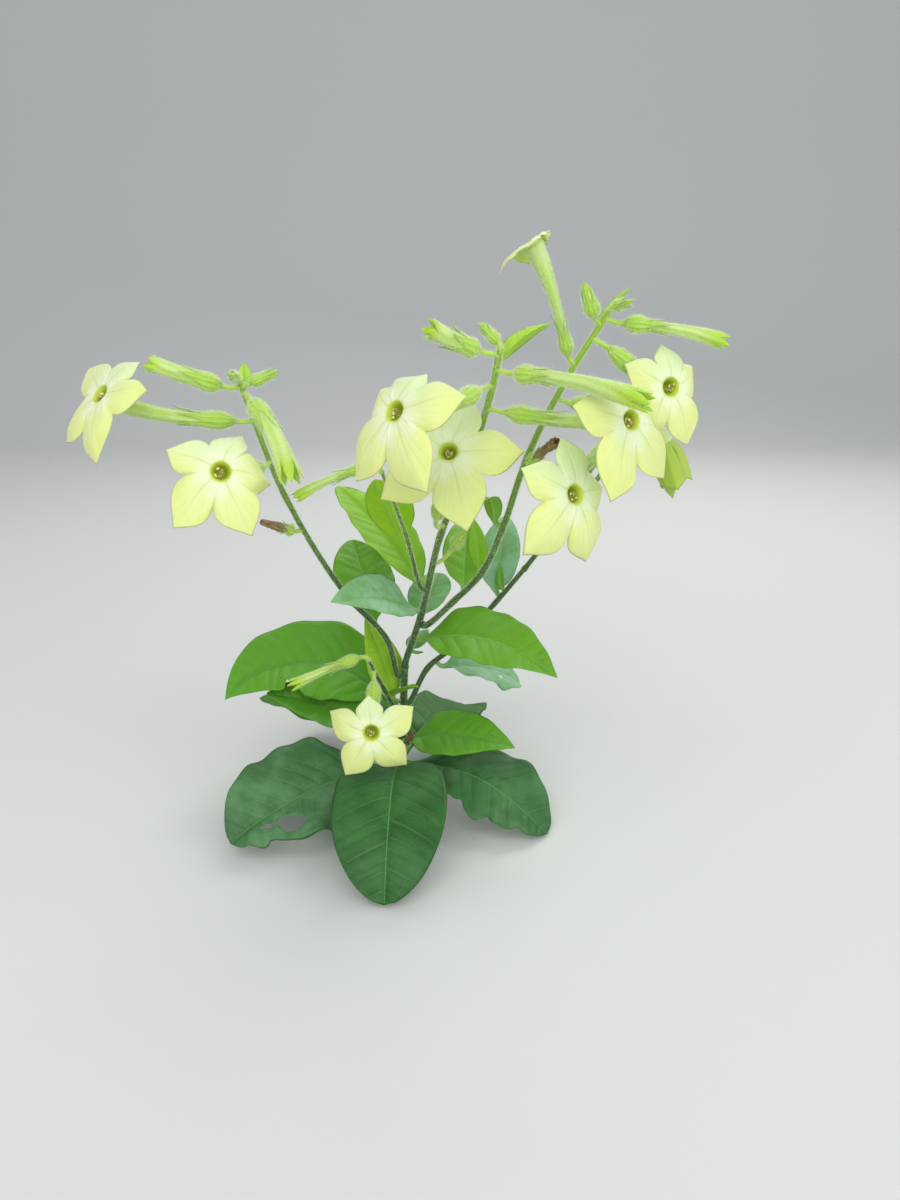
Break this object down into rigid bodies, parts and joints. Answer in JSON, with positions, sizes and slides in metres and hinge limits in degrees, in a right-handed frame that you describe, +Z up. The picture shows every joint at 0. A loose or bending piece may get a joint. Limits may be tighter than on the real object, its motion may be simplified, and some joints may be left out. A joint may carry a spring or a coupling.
{
  "type": "flowering tobacco plant",
  "caption": "Bushy green herb with a low rosette of broad wavy leaves and leaning stems that end in loose sprays of long-tubed, pale lime star-shaped flowers and slender buds.",
  "frame": {"origin": "middle of the flat cut under the main stem, at ground level", "axes": "+Z up out of the ground; the plant leans towards -Y, and +X is the right-hand side seen from there"},
  "size_m": [0.3313, 0.2653, 0.3514],
  "materials": {
    "stem": "ribbed dark green stem with fine pale sticky hairs",
    "basal_leaf": "soft mid green blade with pale ribs and a faint bluish sheen",
    "stem_leaf": "soft yellow-green blade with pale ribs",
    "bloom": "velvety pale lime petals with a whitish star, on a lime green hairy tube",
    "bud": "lime green closed petals in a hairy bright green calyx",
    "pod": "drying green and brown calyx round a seed pod"
  },
  "bodies": {
    "root": {"main_stem": "stem", "left_stem": "stem", "centre_stem": "stem", "right_stem": "stem", "back_stem": "stem", "back_stem_top": "stem", "front_shoot": "stem", "axil_shoot": "stem", "leaf_front": "basal_leaf", "leaf_front_left": "basal_leaf", "leaf_front_right": "basal_leaf", "leaf_right_low": "basal_leaf", "leaf_left_low": "basal_leaf", "leaf_left": "basal_leaf", "leaf_right_high": "stem_leaf", "leaf_centre_left": "stem_leaf", "leaf_upright": "stem_leaf", "leaf_spoon": "stem_leaf", "leaf_left_upright": "stem_leaf", "leaf_shoot_back": "stem_leaf", "leaf_right_upright": "stem_leaf", "leaf_right_bright": "stem_leaf", "leaf_far_right": "stem_leaf", "leaf_fork": "stem_leaf", "leaf_behind_fork": "stem_leaf", "leaf_back_right": "stem_leaf", "leaf_back_left": "basal_leaf", "leaf_back_low": "basal_leaf", "leaf_back_low_right": "basal_leaf", "leaf_shoot_bract": "stem_leaf", "leaf_arching": "stem_leaf", "leaf_spray_left": "stem_leaf", "leaf_spray_centre": "stem_leaf", "leaf_spray_right": "stem_leaf", "flower_far_left": "bloom", "flower_left": "bloom", "flower_centre_left": "bloom", "flower_centre": "bloom", "flower_low": "bloom", "flower_right_low": "bloom", "flower_right": "bloom", "flower_far_right": "bloom", "flower_top": "bloom", "flower_hanging": "bloom", "bud_left_long": "bud", "bud_left_short": "bud", "bud_left_tip": "bud", "bud_left_hanging": "bud", "bud_axil": "bud", "bud_centre_left": "bud", "bud_centre_back": "bud", "bud_centre_right": "bud", "bud_right_long": "bud", "bud_right_top": "bud", "bud_right_tip": "bud", "bud_shoot": "bud", "bud_side": "bud", "pod_left": "pod", "pod_right": "pod", "pod_low": "pod"}
  },
  "joints": []
}
